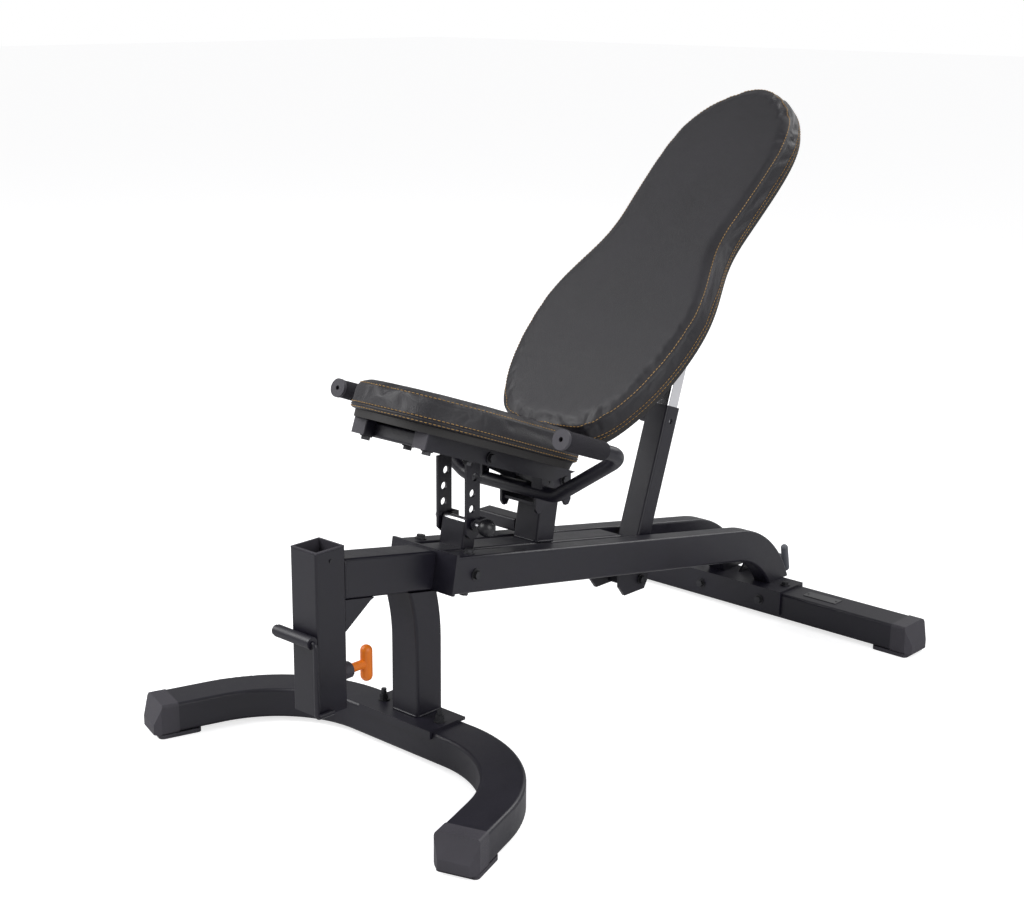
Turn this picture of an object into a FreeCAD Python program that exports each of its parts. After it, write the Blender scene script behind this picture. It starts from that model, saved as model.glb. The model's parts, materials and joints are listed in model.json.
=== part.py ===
import FreeCAD
import Part
import math
import os

# Adjustable weight bench. Units are millimetres.
# X runs across the bench, Y from the receiver end to the head end, Z up from the floor.
# Stations along Y are measured from the receiver's axis; export() moves the origin
# to the middle of the footprint.

os.makedirs("parts", exist_ok=True)

V = FreeCAD.Vector
ORIGIN_Y = 575.84
WALL = 2.5
SLACK = 0.05

# feet
FOOT_W = 72.0
FOOT_H = 52.0
FOOT_Z = 8.0
FOOT_CORNER = 6.0
FRONT_FOOT_Y = 198.0
FRONT_FOOT_STRAIGHT = 108.0
FRONT_FOOT_BEND = 226.0
FRONT_FOOT_TURN = 72.0
FRONT_FOOT_ARM = 78.0
REAR_FOOT_HALF = 371.0
CAP_LENGTH = 42.0
CAP_SLOPE = 14.0
CAP_FACE = 36.0
CAP_CHEEK = 12.0
CAP_PAD = 74.0
PLATE = 5.0

# frame
SLOPE = 10.0
BEAM_TOP_Y = 230.0
BEAM_TOP_Z = 342.0
FRONT_BEAM_W = 56.0
FRONT_BEAM_H = 66.0
SIDE_BEAM_W = 38.0
SIDE_BEAM_H = 63.0
SIDE_BEAM_OUT = 75.0
SIDE_BEAM_RUN = 822.0
SIDE_BEAM_BEND = 196.0
SIDE_BEAM_TURN = 54.0
REAR_FOOT_SET = 110.5
REAR_FOOT_Y = BEAM_TOP_Y + SIDE_BEAM_RUN * math.cos(math.radians(SLOPE)) + REAR_FOOT_SET
SPINE_END = 490.0
RECEIVER = 60.0
RECEIVER_WALL = 3.0
RECEIVER_BOTTOM = 132.0
RECEIVER_TOP = 398.0
LINER = 2.0
POST_W = 62.0
POST_D = 58.0
POST_Y = 211.0
POST_VERTICAL = 190.0
POST_BEND = 330.0

# seat carrier
ADJUST_Y = 306.0
ADJUST_D = 30.0
ADJUST_H = 44.0
SEAT_POST_Y = 500.0
SEAT_POST_D = 47.0
SEAT_POST_TOP = 370.0
PIVOT_PLATE = 5.0
PIVOT_HALF = 42.0
SEAT_PIVOT = (490.0, 404.0)
BACK_PIVOT = (530.0, 404.0)
HINGE_R = 5.0

# seat
SEAT_TILT = 20.5
SEAT_FRONT = (152.0, 537.0)
RAIL = 26.0
RAIL_X = 69.0
RAIL_LENGTH = 322.0
RAIL_TAIL = 54.0
SEAT_BOARD = 12.0
SEAT_PAD = 48.0
SEAT_HALF = 142.0
SEAT_PAD_FRONT = -40.0
SEAT_PAD_REAR = 332.0
SEAT_NOSE = 130.0
SEAT_HEEL = 45.0
BAR_X = 32.75
BAR_T = 5.0
BAR_W = 32.0
BAR_HOLE_R = 6.8
BAR_PITCH = 27.0
BAR_HOLES = 4
BAR_END = 24.0
PIN_Z = 371.0
PIN_Y = 310.0
PIN_R = 5.0
PIN_OUT = 0.4
STUD_OUT = 9.0
HOLD_T = 4.0
KNOB_R = 15.0
KNOB_X = 64.5
HANDLE_R = 12.0
HANDLE_BORE = 10.0
HANDLE_X = 253.0
HANDLE_Y = 438.0
HANDLE_Z = 406.0
GRIP_R = 15.5
GRIP_LENGTH = 105.0
GRIP_Y = 279.5
GRIP_Z = 560.5

# back
BACK_TILT = 41.0
BACK_START = (512.0, 500.0)
BACK_PAD = 45.0
BACK_BOARD = 12.0
BACK_TUBE_W = 50.0
BACK_TUBE_H = 38.0
BACK_TUBE_END = 640.0
BACK_OUTLINE = [
    (0, 62), (14, 98), (61, 137), (131, 163), (224, 177), (300, 174), (360, 160),
    (420, 142), (465, 135), (520, 135), (619, 138), (690, 135), (735, 126), (775, 108),
    (808, 80), (832, 42), (840, 14),
]

# strut
STRUT_PIVOT = (762.0, 161.0)
STRUT_LEAN = 18.8
STRUT_W = 48.0
STRUT_D = 40.0
STRUT_LENGTH = 328.0
STRUT_FOOT = 18.0
STRUT_PLAY = 1.2
INNER_W = STRUT_W - 2 * WALL - STRUT_PLAY
INNER_D = STRUT_D - 2 * WALL - STRUT_PLAY
INNER_START = 248.0
STRUT_REACH = 575.0
STRUT_HOLE_R = 5.5
STRUT_PITCH = 38.4
STRUT_LOCK = 300.0
STRUT_PIN_R = 5.0
STRUT_BARREL = 20.0
STRUT_PIN_TRAVEL = 10.0
STRUT_KNOB = 20.0

# small moving pieces
BAIL_R = 4.0
SLEEVE_R = 10.0
SLEEVE_LEFT = 51.5
SLEEVE_RIGHT = 29.0
BAIL_Y = -RECEIVER / 2 - SLEEVE_R
BAIL_Z = 259.0
BAIL_X = RECEIVER / 2 + 6.0
BAIL_DROP = 121.5
BAIL_FOOT = 34.0
BAIL_BEND = 6.5
POP_Z = 179.0
POP_R = 10.0
POP_STEM = 37.0
TEE_LENGTH = 62.0
REAR_PIN_Y = REAR_FOOT_Y + 67.0
REAR_PIN_Z = 98.0
REAR_BARREL = 34.0
REAR_STEM = 25.0


def export(name, solids):
    """Write one node, moved into the bench's own frame."""
    shapes = solids if isinstance(solids, list) else [solids]
    shape = shapes[0] if len(shapes) == 1 else Part.makeCompound(shapes)
    shape = shape.copy()
    shape.translate(V(0, -ORIGIN_Y, 0))
    shape.exportStep("parts/" + name + ".step")


def mirrored(shape):
    """The same piece on the other side of the bench."""
    return shape.mirror(V(0, 0, 0), V(1, 0, 0))


def pair(shape):
    return [shape, mirrored(shape)]


def joined(shapes):
    whole = shapes[0]
    for other in shapes[1:]:
        whole = whole.fuse(other)
    return whole.removeSplitter()


def box(x0, x1, y0, y1, z0, z1):
    return Part.makeBox(x1 - x0, y1 - y0, z1 - z0, V(x0, y0, z0))


def rod(start, end, radius):
    axis = end - start
    return Part.makeCylinder(radius, axis.Length, start, axis)


def rounded_rect(centre, along_u, along_v, width, height, corner):
    """A rounded rectangle wire; width runs along u and height along v."""
    u, v = V(along_u).normalize(), V(along_v).normalize()
    a, b, r = width / 2, height / 2, corner
    spots = []
    for su, sv, first in ((1, 1, 0), (-1, 1, 1), (-1, -1, 0), (1, -1, 1)):
        mid = centre + u * (su * (a - r)) + v * (sv * (b - r))
        ends = [mid + u * (su * r), mid + v * (sv * r)]
        if first:
            ends.reverse()
        bow = mid + (u * su + v * sv) * (r * math.sqrt(0.5))
        spots.append((ends[0], bow, ends[1]))
    edges = []
    for index, (start, bow, end) in enumerate(spots):
        edges.append(Part.Arc(start, bow, end).toShape())
        edges.append(Part.LineSegment(end, spots[(index + 1) % 4][0]).toShape())
    return Part.Wire(edges)


def path_through(points, radius):
    """A wire through the points with every inner corner rounded to the radius."""
    edges = []
    last = points[0]
    for before, corner, after in zip(points, points[1:], points[2:]):
        a = (before - corner).normalize()
        b = (after - corner).normalize()
        half = math.acos(max(-1.0, min(1.0, a.dot(b)))) / 2
        reach = radius / math.tan(half)
        start, end = corner + a * reach, corner + b * reach
        middle = (a + b).normalize()
        bow = corner + middle * (radius / math.sin(half) - radius)
        edges.append(Part.LineSegment(last, start).toShape())
        edges.append(Part.Arc(start, bow, end).toShape())
        last = end
    edges.append(Part.LineSegment(last, points[-1]).toShape())
    return Part.Wire(edges)


def swept(path, profile):
    return path.makePipeShell([profile], True, False)


def straight_tube(start, end, across, width, height, wall, corner=5.0):
    """A rectangular tube, open at both ends."""
    along = end - start
    up = across.cross(along).normalize()
    outer = rounded_rect(start, across, up, width, height, corner)
    inner = rounded_rect(start, across, up, width - 2 * wall, height - 2 * wall, corner - wall)
    solid = Part.Face(outer).extrude(along)
    return solid.cut(Part.Face(inner).extrude(along))


def bent_tube(path, start, across, up, width, height, wall, corner=5.0):
    outer = rounded_rect(start, across, up, width, height, corner)
    inner = rounded_rect(start, across, up, width - 2 * wall, height - 2 * wall, corner - wall)
    return swept(path, outer).cut(swept(path, inner))


def round_tube(path, start, along, radius, bore):
    outer = Part.Wire(Part.Circle(start, along, radius).toShape())
    inner = Part.Wire(Part.Circle(start, along, bore).toShape())
    return swept(path, outer).cut(swept(path, inner))


def side_plate(points, x0, x1):
    """A plate standing in the YZ plane between two X values."""
    corners = [V(x0, y, z) for y, z in points]
    wire = Part.makePolygon(corners + corners[:1])
    return Part.Face(wire).extrude(V(x1 - x0, 0, 0))


def bolt_head(base, axis, radius=7.5, height=5.5):
    """A washer with a hexagon head on it."""
    axis = V(axis).normalize()
    washer = Part.makeCylinder(radius + 2.5, 1.8, base, axis)
    side = V(1, 0, 0) if abs(axis.x) < 0.9 else V(0, 1, 0)
    other = axis.cross(side).normalize()
    top = base + axis * 1.8
    ring = []
    for step in range(7):
        turn = math.radians(60 * step)
        ring.append(top + side * (radius * math.cos(turn)) + other * (radius * math.sin(turn)))
    return washer.fuse(Part.Face(Part.makePolygon(ring)).extrude(axis * height)).removeSplitter()


def stud_nut(base, axis):
    """A washer and a deep nut, with the end of its stud showing."""
    nut = bolt_head(base, axis, 7.5, 10.0)
    return nut.fuse(rod(base, base + V(axis).normalize() * 20, 4.5)).removeSplitter()


def beam_z(y):
    """Height of the sloping frame's top face at a station."""
    return BEAM_TOP_Z - (y - BEAM_TOP_Y) * math.tan(math.radians(SLOPE))


SLOPE_U = V(0, math.cos(math.radians(SLOPE)), -math.sin(math.radians(SLOPE)))
SLOPE_N = V(0, math.sin(math.radians(SLOPE)), math.cos(math.radians(SLOPE)))
SEAT_U = V(0, math.cos(math.radians(SEAT_TILT)), -math.sin(math.radians(SEAT_TILT)))
SEAT_N = V(0, math.sin(math.radians(SEAT_TILT)), math.cos(math.radians(SEAT_TILT)))
BACK_U = V(0, math.cos(math.radians(BACK_TILT)), math.sin(math.radians(BACK_TILT)))
BACK_N = V(0, -math.sin(math.radians(BACK_TILT)), math.cos(math.radians(BACK_TILT)))
STRUT_U = V(0, math.sin(math.radians(STRUT_LEAN)), math.cos(math.radians(STRUT_LEAN)))
STRUT_N = V(0, -math.cos(math.radians(STRUT_LEAN)), math.sin(math.radians(STRUT_LEAN)))


def seat_at(x, s, n):
    return V(x, SEAT_FRONT[0], SEAT_FRONT[1]) + SEAT_U * s + SEAT_N * n


def back_at(x, s, n):
    return V(x, BACK_START[0], BACK_START[1]) + BACK_U * s + BACK_N * n


def strut_at(x, s, n):
    return V(x, STRUT_PIVOT[0], STRUT_PIVOT[1]) + STRUT_U * s + STRUT_N * n


def slope_at(x, s, n):
    """On the sloping frame: s along it from the junction, n out of its top face."""
    return V(x, BEAM_TOP_Y, BEAM_TOP_Z) + SLOPE_U * s + SLOPE_N * n


def block(place, x0, x1, s0, s1, n0, n1):
    """A box in one of the tilted frames."""
    corners = [place(x0, s0, n0), place(x0, s1, n0), place(x0, s1, n1), place(x0, s0, n1)]
    return Part.Face(Part.makePolygon(corners + corners[:1])).extrude(V(x1 - x0, 0, 0))


def tilted_plate(place, points, x0, x1):
    corners = [place(x0, s, n) for s, n in points]
    return Part.Face(Part.makePolygon(corners + corners[:1])).extrude(V(x1 - x0, 0, 0))


# ---------------------------------------------------------------- feet

def foot_cap(origin, along, bottom_pad):
    """A moulded end cap with a chamfered nose and a pad under it."""
    along = V(along).normalize()
    across = V(0, 0, 1).cross(along)
    body = rounded_rect(origin, across, V(0, 0, 1), FOOT_W + 2, FOOT_H + 2, FOOT_CORNER)
    lump = Part.Face(body).extrude(along * CAP_LENGTH)
    nose = origin + along * CAP_LENGTH
    wedge = [
        nose + V(0, 0, FOOT_H / 2 + 2) - along * CAP_SLOPE,
        nose + V(0, 0, FOOT_H / 2 + 2) + along * 2,
        nose + V(0, 0, FOOT_H / 2 - CAP_FACE) + along * 2,
        nose + V(0, 0, FOOT_H / 2 - CAP_FACE),
    ]
    face = Part.Face(Part.makePolygon(wedge + wedge[:1]))
    face.translate(across * -FOOT_W)
    lump = lump.cut(face.extrude(across * (2 * FOOT_W)))
    for side in (1, -1):
        tip = nose + across * (side * (FOOT_W / 2 + 2))
        corner = [
            tip - along * CAP_CHEEK, tip + along * 2,
            tip + along * 2 - across * (side * CAP_CHEEK), tip - across * (side * CAP_CHEEK),
        ]
        cheek = Part.Face(Part.makePolygon(corner + corner[:1]))
        cheek.translate(V(0, 0, -FOOT_H))
        lump = lump.cut(cheek.extrude(V(0, 0, 2 * FOOT_H)))
    sole = origin - V(0, 0, FOOT_H / 2 + 1)
    pad_centre = sole + along * (CAP_LENGTH - 8 - CAP_PAD / 2) - V(0, 0, FOOT_Z - 1)
    pad = rounded_rect(pad_centre, across, along, bottom_pad, CAP_PAD, 8)
    reach = sole.z - pad_centre.z
    lump = lump.fuse(Part.Face(pad).extrude(V(0, 0, reach)))
    under = rounded_rect(origin, across, V(0, 0, 1), FOOT_W, FOOT_H, FOOT_CORNER)
    tube_room = Part.Face(under).extrude(along * -CAP_PAD)
    return lump.cut(tube_room).removeSplitter()


foot_mid = FOOT_Z + FOOT_H / 2
turn = math.radians(FRONT_FOOT_TURN)
bend_end = V(
    FRONT_FOOT_STRAIGHT + FRONT_FOOT_BEND * math.sin(turn),
    FRONT_FOOT_Y - FRONT_FOOT_BEND * (1 - math.cos(turn)),
    foot_mid,
)
bend_bow = V(
    FRONT_FOOT_STRAIGHT + FRONT_FOOT_BEND * math.sin(turn / 2),
    FRONT_FOOT_Y - FRONT_FOOT_BEND * (1 - math.cos(turn / 2)),
    foot_mid,
)
arm_way = V(math.cos(turn), -math.sin(turn), 0)
arm_end = bend_end + arm_way * FRONT_FOOT_ARM
bend_start = V(FRONT_FOOT_STRAIGHT, FRONT_FOOT_Y, foot_mid)


def flip(point):
    return V(-point.x, point.y, point.z)


foot_path = Part.Wire([
    Part.LineSegment(flip(arm_end), flip(bend_end)).toShape(),
    Part.Arc(flip(bend_end), flip(bend_bow), flip(bend_start)).toShape(),
    Part.LineSegment(flip(bend_start), bend_start).toShape(),
    Part.Arc(bend_start, bend_bow, bend_end).toShape(),
    Part.LineSegment(bend_end, arm_end).toShape(),
])
foot_across = V(0, 0, 1).cross(flip(arm_way) * -1)
front_foot = bent_tube(
    foot_path, flip(arm_end), foot_across, V(0, 0, 1), FOOT_W, FOOT_H, WALL, FOOT_CORNER
)
export("front_foot", front_foot)
export("front_foot_caps", pair(foot_cap(arm_end, arm_way, FOOT_W - 2)))

rear_start = V(-REAR_FOOT_HALF, REAR_FOOT_Y, foot_mid)
rear_end = V(REAR_FOOT_HALF, REAR_FOOT_Y, foot_mid)
rear_foot = straight_tube(rear_start, rear_end, V(0, 1, 0), FOOT_W, FOOT_H, WALL, FOOT_CORNER)
export("rear_foot", rear_foot)
export("rear_foot_caps", pair(foot_cap(rear_end, V(1, 0, 0), FOOT_W - 2)))

# ---------------------------------------------------------------- front foot plate, post

foot_top = FOOT_Z + FOOT_H
plate_top = foot_top + PLATE
lip = 9.0
front_plate = joined([
    box(-84, 84, FRONT_FOOT_Y - FOOT_W / 2 - PLATE, FRONT_FOOT_Y + FOOT_W / 2 + 6, foot_top, plate_top),
    box(-84, 84, FRONT_FOOT_Y - FOOT_W / 2 - PLATE, FRONT_FOOT_Y - FOOT_W / 2, foot_top - lip, foot_top),
])
export("front_foot_plate", front_plate)
frame_bolts = [stud_nut(V(side * 66, FRONT_FOOT_Y, plate_top), V(0, 0, 1)) for side in (1, -1)]

post_low = V(0, POST_Y, plate_top)
post_mid = V(0, POST_Y, POST_VERTICAL)
lean = math.radians(24)
post_bow = V(
    0, POST_Y - POST_BEND * (1 - math.cos(lean / 2)), POST_VERTICAL + POST_BEND * math.sin(lean / 2)
)
post_high = V(0, POST_Y - POST_BEND * (1 - math.cos(lean)), POST_VERTICAL + POST_BEND * math.sin(lean))
post_path = Part.Wire([
    Part.LineSegment(post_low, post_mid).toShape(),
    Part.Arc(post_mid, post_bow, post_high).toShape(),
])
front_post = bent_tube(post_path, post_low, V(1, 0, 0), V(0, 1, 0), POST_W, POST_D, WALL)
under_beam = block(slope_at, -60, 60, -250, 100, -FRONT_BEAM_H, 200)
front_post = front_post.cut(under_beam)
export("front_post", front_post)

# ---------------------------------------------------------------- receiver and front beam

half = RECEIVER / 2
receiver = box(-half, half, -half, half, RECEIVER_BOTTOM, RECEIVER_TOP)
receiver = receiver.makeFillet(
    4.0, [e for e in receiver.Edges if abs(e.tangentAt(e.FirstParameter).z) > 0.9]
)
room = half - RECEIVER_WALL
receiver = receiver.cut(box(-room, room, -room, room, RECEIVER_BOTTOM - 1, RECEIVER_TOP + 1))
pop_hole = rod(V(0, room - 5, POP_Z), V(0, half + 5, POP_Z), 5 + SLACK)
receiver = receiver.cut(pop_hole)
screw_hole = rod(V(half + 5, 0, RECEIVER_TOP - 16), V(room - 5, 0, RECEIVER_TOP - 16), 3.0)
receiver = receiver.cut(screw_hole)
export("receiver_tube", receiver)

lined = room - LINER
liner = box(-room, room, -room, room, RECEIVER_TOP - 70, RECEIVER_TOP)
liner = liner.fuse(box(-half + 1, half - 1, -half + 1, half - 1, RECEIVER_TOP, RECEIVER_TOP + 2.5))
liner = liner.cut(box(-lined, lined, -lined, lined, RECEIVER_TOP - 71, RECEIVER_TOP + 5)).removeSplitter()
export("receiver_liner", liner)
export("liner_screw", rod(V(room, 0, RECEIVER_TOP - 16), V(half + 1.5, 0, RECEIVER_TOP - 16), 3.0))

beam_mid = -FRONT_BEAM_H / 2
front_beam = straight_tube(
    slope_at(0, -230, beam_mid), slope_at(0, 0, beam_mid), V(1, 0, 0), FRONT_BEAM_W, FRONT_BEAM_H, WALL
)
front_beam = front_beam.cut(box(-80, 80, -80, half, 200, 500))
export("front_beam", front_beam)

beam_under = [(half, beam_z(half) - FRONT_BEAM_H / math.cos(math.radians(SLOPE)))]
gusset_end = 92.0
beam_under.append((gusset_end, beam_z(gusset_end) - FRONT_BEAM_H / math.cos(math.radians(SLOPE))))
gusset = side_plate([(half, 258), beam_under[0], beam_under[1], (gusset_end - 8, beam_under[1][1] - 3)],
                    FRONT_BEAM_W / 2 - 5, FRONT_BEAM_W / 2)
export("gussets", pair(gusset))

junction = block(slope_at, -SIDE_BEAM_OUT, SIDE_BEAM_OUT, 0, 6, -SIDE_BEAM_H - 2, 3)
export("junction_plate", junction)

spine = straight_tube(
    slope_at(0, 6, -SIDE_BEAM_H / 2), slope_at(0, SPINE_END, -SIDE_BEAM_H / 2), V(1, 0, 0),
    FRONT_BEAM_W, SIDE_BEAM_H, WALL
)
export("spine_tube", spine)

# ---------------------------------------------------------------- side beams

beam_x = SIDE_BEAM_OUT - SIDE_BEAM_W / 2
beam_start = slope_at(beam_x, 6, -SIDE_BEAM_H / 2)
beam_bend = slope_at(beam_x, SIDE_BEAM_RUN, -SIDE_BEAM_H / 2)
hub = beam_bend - SLOPE_N * SIDE_BEAM_BEND


def on_bend(angle):
    turned = math.radians(angle)
    return hub + SLOPE_N * (SIDE_BEAM_BEND * math.cos(turned)) + SLOPE_U * (SIDE_BEAM_BEND * math.sin(turned))


way_out = math.radians(SLOPE + SIDE_BEAM_TURN)
beam_path = Part.Wire([
    Part.LineSegment(beam_start, beam_bend).toShape(),
    Part.Arc(beam_bend, on_bend(SIDE_BEAM_TURN / 2), on_bend(SIDE_BEAM_TURN)).toShape(),
    Part.LineSegment(
        on_bend(SIDE_BEAM_TURN),
        on_bend(SIDE_BEAM_TURN) + V(0, math.cos(way_out), -math.sin(way_out)) * 60
    ).toShape(),
])
beam = bent_tube(beam_path, beam_start, V(1, 0, 0), SLOPE_N, SIDE_BEAM_W, SIDE_BEAM_H, WALL)
beam = beam.cut(box(0, 200, 900, 1500, -100, plate_top))
export("side_beam_right", beam)
export("side_beam_left", mirrored(beam))

frame_bolts += pair(bolt_head(slope_at(SIDE_BEAM_OUT, 50, -SIDE_BEAM_H / 2), V(1, 0, 0)))
frame_bolts += pair(bolt_head(slope_at(beam_x, 48, 0), SLOPE_N))
frame_bolts += pair(bolt_head(slope_at(beam_x, 48, -SIDE_BEAM_H), SLOPE_N * -1))

# ---------------------------------------------------------------- seat adjuster on the frame

adjust_s = (ADJUST_Y - BEAM_TOP_Y) / math.cos(math.radians(SLOPE))
adjust_post = straight_tube(
    slope_at(0, adjust_s, 0), slope_at(0, adjust_s, ADJUST_H),
    V(1, 0, 0), FRONT_BEAM_W - 1, ADJUST_D, WALL, 4
)
adjust_post = adjust_post.cut(rod(V(-40, PIN_Y, PIN_Z), V(40, PIN_Y, PIN_Z), 8.0))
export("seat_adjust_post", adjust_post)
sleeve = rod(V(-FRONT_BEAM_W / 2, PIN_Y, PIN_Z), V(FRONT_BEAM_W / 2, PIN_Y, PIN_Z), 8.0)
sleeve = sleeve.cut(rod(V(-40, PIN_Y, PIN_Z), V(40, PIN_Y, PIN_Z), PIN_R + SLACK))
export("seat_pin_sleeve", sleeve)

bar_out = BAR_X + BAR_T / 2
hold_x = bar_out + 2.0
holder = joined([
    box(FRONT_BEAM_W / 2 - 6, hold_x + HOLD_T, PIN_Y + BAR_W / 2 + 5,
        PIN_Y + BAR_W / 2 + 9, PIN_Z - 7, PIN_Z + 7),
    box(hold_x, hold_x + HOLD_T, PIN_Y, PIN_Y + BAR_W / 2 + 9, PIN_Z - 7, PIN_Z + 7),
    box(FRONT_BEAM_W / 2 - 6, FRONT_BEAM_W / 2 - 2, PIN_Y + 9, PIN_Y + BAR_W / 2 + 9, PIN_Z - 7, PIN_Z + 7),
    rod(V(hold_x, PIN_Y, PIN_Z), V(hold_x + HOLD_T, PIN_Y, PIN_Z), 10.0),
])
holder = holder.cut(rod(V(hold_x - 5, PIN_Y, PIN_Z), V(hold_x + 20, PIN_Y, PIN_Z), PIN_R + SLACK))
holder = holder.cut(rod(V(-40, PIN_Y, PIN_Z), V(40 - 8, PIN_Y, PIN_Z), 8.0)).removeSplitter()
holder = holder.cut(adjust_post)
export("seat_pin_holder", pair(holder))
stud = rod(V(-hold_x, PIN_Y, PIN_Z), V(-hold_x - STUD_OUT, PIN_Y, PIN_Z), PIN_R)
stud = stud.fuse(Part.makeSphere(PIN_R, V(-hold_x - STUD_OUT, PIN_Y, PIN_Z)))
export("seat_pin_stud", stud.removeSplitter())

seat_post_s = (SEAT_POST_Y - BEAM_TOP_Y) / math.cos(math.radians(SLOPE))
seat_post = straight_tube(
    slope_at(0, seat_post_s, 0), slope_at(0, seat_post_s, 150), V(1, 0, 0), FRONT_BEAM_W, SEAT_POST_D, WALL
)
seat_post = seat_post.cut(box(-80, 80, 300, 700, SEAT_POST_TOP, 700))
export("seat_post", seat_post)

ear_outline = [
    (464, 356), (458, 364), (458, 410), (468, 420), (540, 420), (550, 410), (550, 364), (544, 356),
    (536, 356), (530, 366), (478, 366), (472, 356),
]
ear = side_plate(ear_outline, PIVOT_HALF - PIVOT_PLATE, PIVOT_HALF)
bridge = box(
    PIVOT_PLATE - PIVOT_HALF, PIVOT_HALF - PIVOT_PLATE, 462, 546, SEAT_POST_TOP, SEAT_POST_TOP + PIVOT_PLATE
)
pivot_bracket = joined([ear, mirrored(ear), bridge])
for y, z in (SEAT_PIVOT, BACK_PIVOT):
    pivot_bracket = pivot_bracket.cut(rod(V(-80, y, z), V(80, y, z), HINGE_R))
export("pivot_bracket", pivot_bracket)


def hinge_pin(y, z):
    """A bolt through both ears, with a head and a nut."""
    reach = PIVOT_HALF
    shank = rod(V(-reach, y, z), V(reach, y, z), HINGE_R)
    heads = [bolt_head(V(side * reach, y, z), V(side, 0, 0)) for side in (1, -1)]
    return joined([shank] + heads)


hinge_bolts = [hinge_pin(*SEAT_PIVOT), hinge_pin(*BACK_PIVOT)]

stub = straight_tube(V(-POST_W / 2, SEAT_POST_Y + 1, 315), V(-POST_W / 2 - 88, SEAT_POST_Y + 1, 315),
                     V(0, 1, 0), 34, 24, WALL, 4)
export("side_stub", stub)

# ---------------------------------------------------------------- strut bracket

strut_ear = side_plate(
    [(700, 206), (700, 160), (716, 140), (774, 140), (784, 156), (784, 206)], 31, SIDE_BEAM_OUT - SIDE_BEAM_W
)
strut_ear = strut_ear.cut(rod(V(-80, *STRUT_PIVOT), V(80, *STRUT_PIVOT), HINGE_R))
export("strut_bracket", pair(strut_ear))
strut_bolt_x = SIDE_BEAM_OUT - SIDE_BEAM_W
strut_shank = rod(V(-strut_bolt_x, *STRUT_PIVOT), V(strut_bolt_x, *STRUT_PIVOT), HINGE_R)
strut_heads = [bolt_head(V(side * strut_bolt_x, *STRUT_PIVOT), V(side, 0, 0)) for side in (1, -1)]
hinge_bolts.append(joined([strut_shank] + strut_heads))
export("hinge_bolts", hinge_bolts)

# ---------------------------------------------------------------- rear saddle, plate, handle barrel

saddle_half = 122.0
saddle = joined([
    box(-saddle_half, saddle_half, REAR_FOOT_Y - FOOT_W / 2 - PLATE,
        REAR_FOOT_Y + FOOT_W / 2 + PLATE, foot_top, plate_top),
    box(-saddle_half, saddle_half, REAR_FOOT_Y - FOOT_W / 2 - PLATE,
        REAR_FOOT_Y - FOOT_W / 2, foot_top - 44, foot_top),
    box(-saddle_half, saddle_half, REAR_FOOT_Y + FOOT_W / 2,
        REAR_FOOT_Y + FOOT_W / 2 + PLATE, foot_top - 44, foot_top),
])
export("rear_saddle", saddle)
saddle_front = REAR_FOOT_Y - FOOT_W / 2 - PLATE
frame_bolts += [bolt_head(V(x, saddle_front, foot_top - 22), V(0, -1, 0)) for x in (-72, 72)]
frame_bolts += [bolt_head(V(x, REAR_FOOT_Y + 4, plate_top), V(0, 0, 1)) for x in (-104, 104)]
export("frame_bolts", frame_bolts)
name_plate = box(158, 232, REAR_FOOT_Y - 13, REAR_FOOT_Y + 13, foot_top, foot_top + 1.2)
rivets = [Part.makeCylinder(2.2, 1.2, V(x, REAR_FOOT_Y, foot_top + 1.2)) for x in (163, 227)]
export("blank_plate", joined([name_plate] + rivets))

rear_rise = side_plate(
    [(REAR_FOOT_Y + FOOT_W / 2 - 30, plate_top), (REAR_FOOT_Y + FOOT_W / 2 + PLATE, plate_top),
     (REAR_PIN_Y + 15, REAR_PIN_Z - 10), (REAR_PIN_Y + 15, REAR_PIN_Z + 14),
     (REAR_PIN_Y - 15, REAR_PIN_Z + 14)],
    -12, -7
)
barrel = rod(V(-7, REAR_PIN_Y, REAR_PIN_Z), V(REAR_BARREL, REAR_PIN_Y, REAR_PIN_Z), 11.0)
rear_bracket = joined([rear_rise, barrel])
rear_bracket = rear_bracket.cut(
    rod(V(-30, REAR_PIN_Y, REAR_PIN_Z), V(50, REAR_PIN_Y, REAR_PIN_Z), 5 + SLACK)
)
export("rear_pin_bracket", rear_bracket)


def tee(base, way, bar, stem, bar_r, length):
    """A T-shaped handle: a stem along one way with a rounded bar across its end."""
    way, bar = V(way).normalize(), V(bar).normalize()
    end = base + way * stem
    low, high = end - bar * (length / 2 - bar_r), end + bar * (length / 2 - bar_r)
    cross = rod(low, high, bar_r)
    cross = cross.fuse(Part.makeSphere(bar_r, low)).fuse(Part.makeSphere(bar_r, high))
    return joined([rod(base, end, bar_r * 0.75), cross])


rear_base = V(REAR_BARREL + 1, REAR_PIN_Y, REAR_PIN_Z)
rear_pin = rod(V(-28, REAR_PIN_Y, REAR_PIN_Z), rear_base, 5.0)
export("rear_pin", rear_pin)
export("rear_pin_handle", tee(rear_base, V(1, 0, 0), V(0, -0.2, 1), REAR_STEM, 7.5, 60))

# ---------------------------------------------------------------- receiver pop pin and bail

pop_barrel = rod(V(0, half, POP_Z), V(0, half + 30, POP_Z), 13.5)
pop_barrel = pop_barrel.cut(rod(V(0, 0, POP_Z), V(0, 90, POP_Z), 5 + SLACK))
export("receiver_pin_barrel", pop_barrel)
export("receiver_pin", rod(V(0, room - 12, POP_Z), V(0, half + 31, POP_Z), 5.0))
export(
    "receiver_pin_handle", tee(V(0, half + 31, POP_Z), V(0, 1, 0), V(0, 0, 1), POP_STEM, POP_R, TEE_LENGTH)
)

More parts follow.
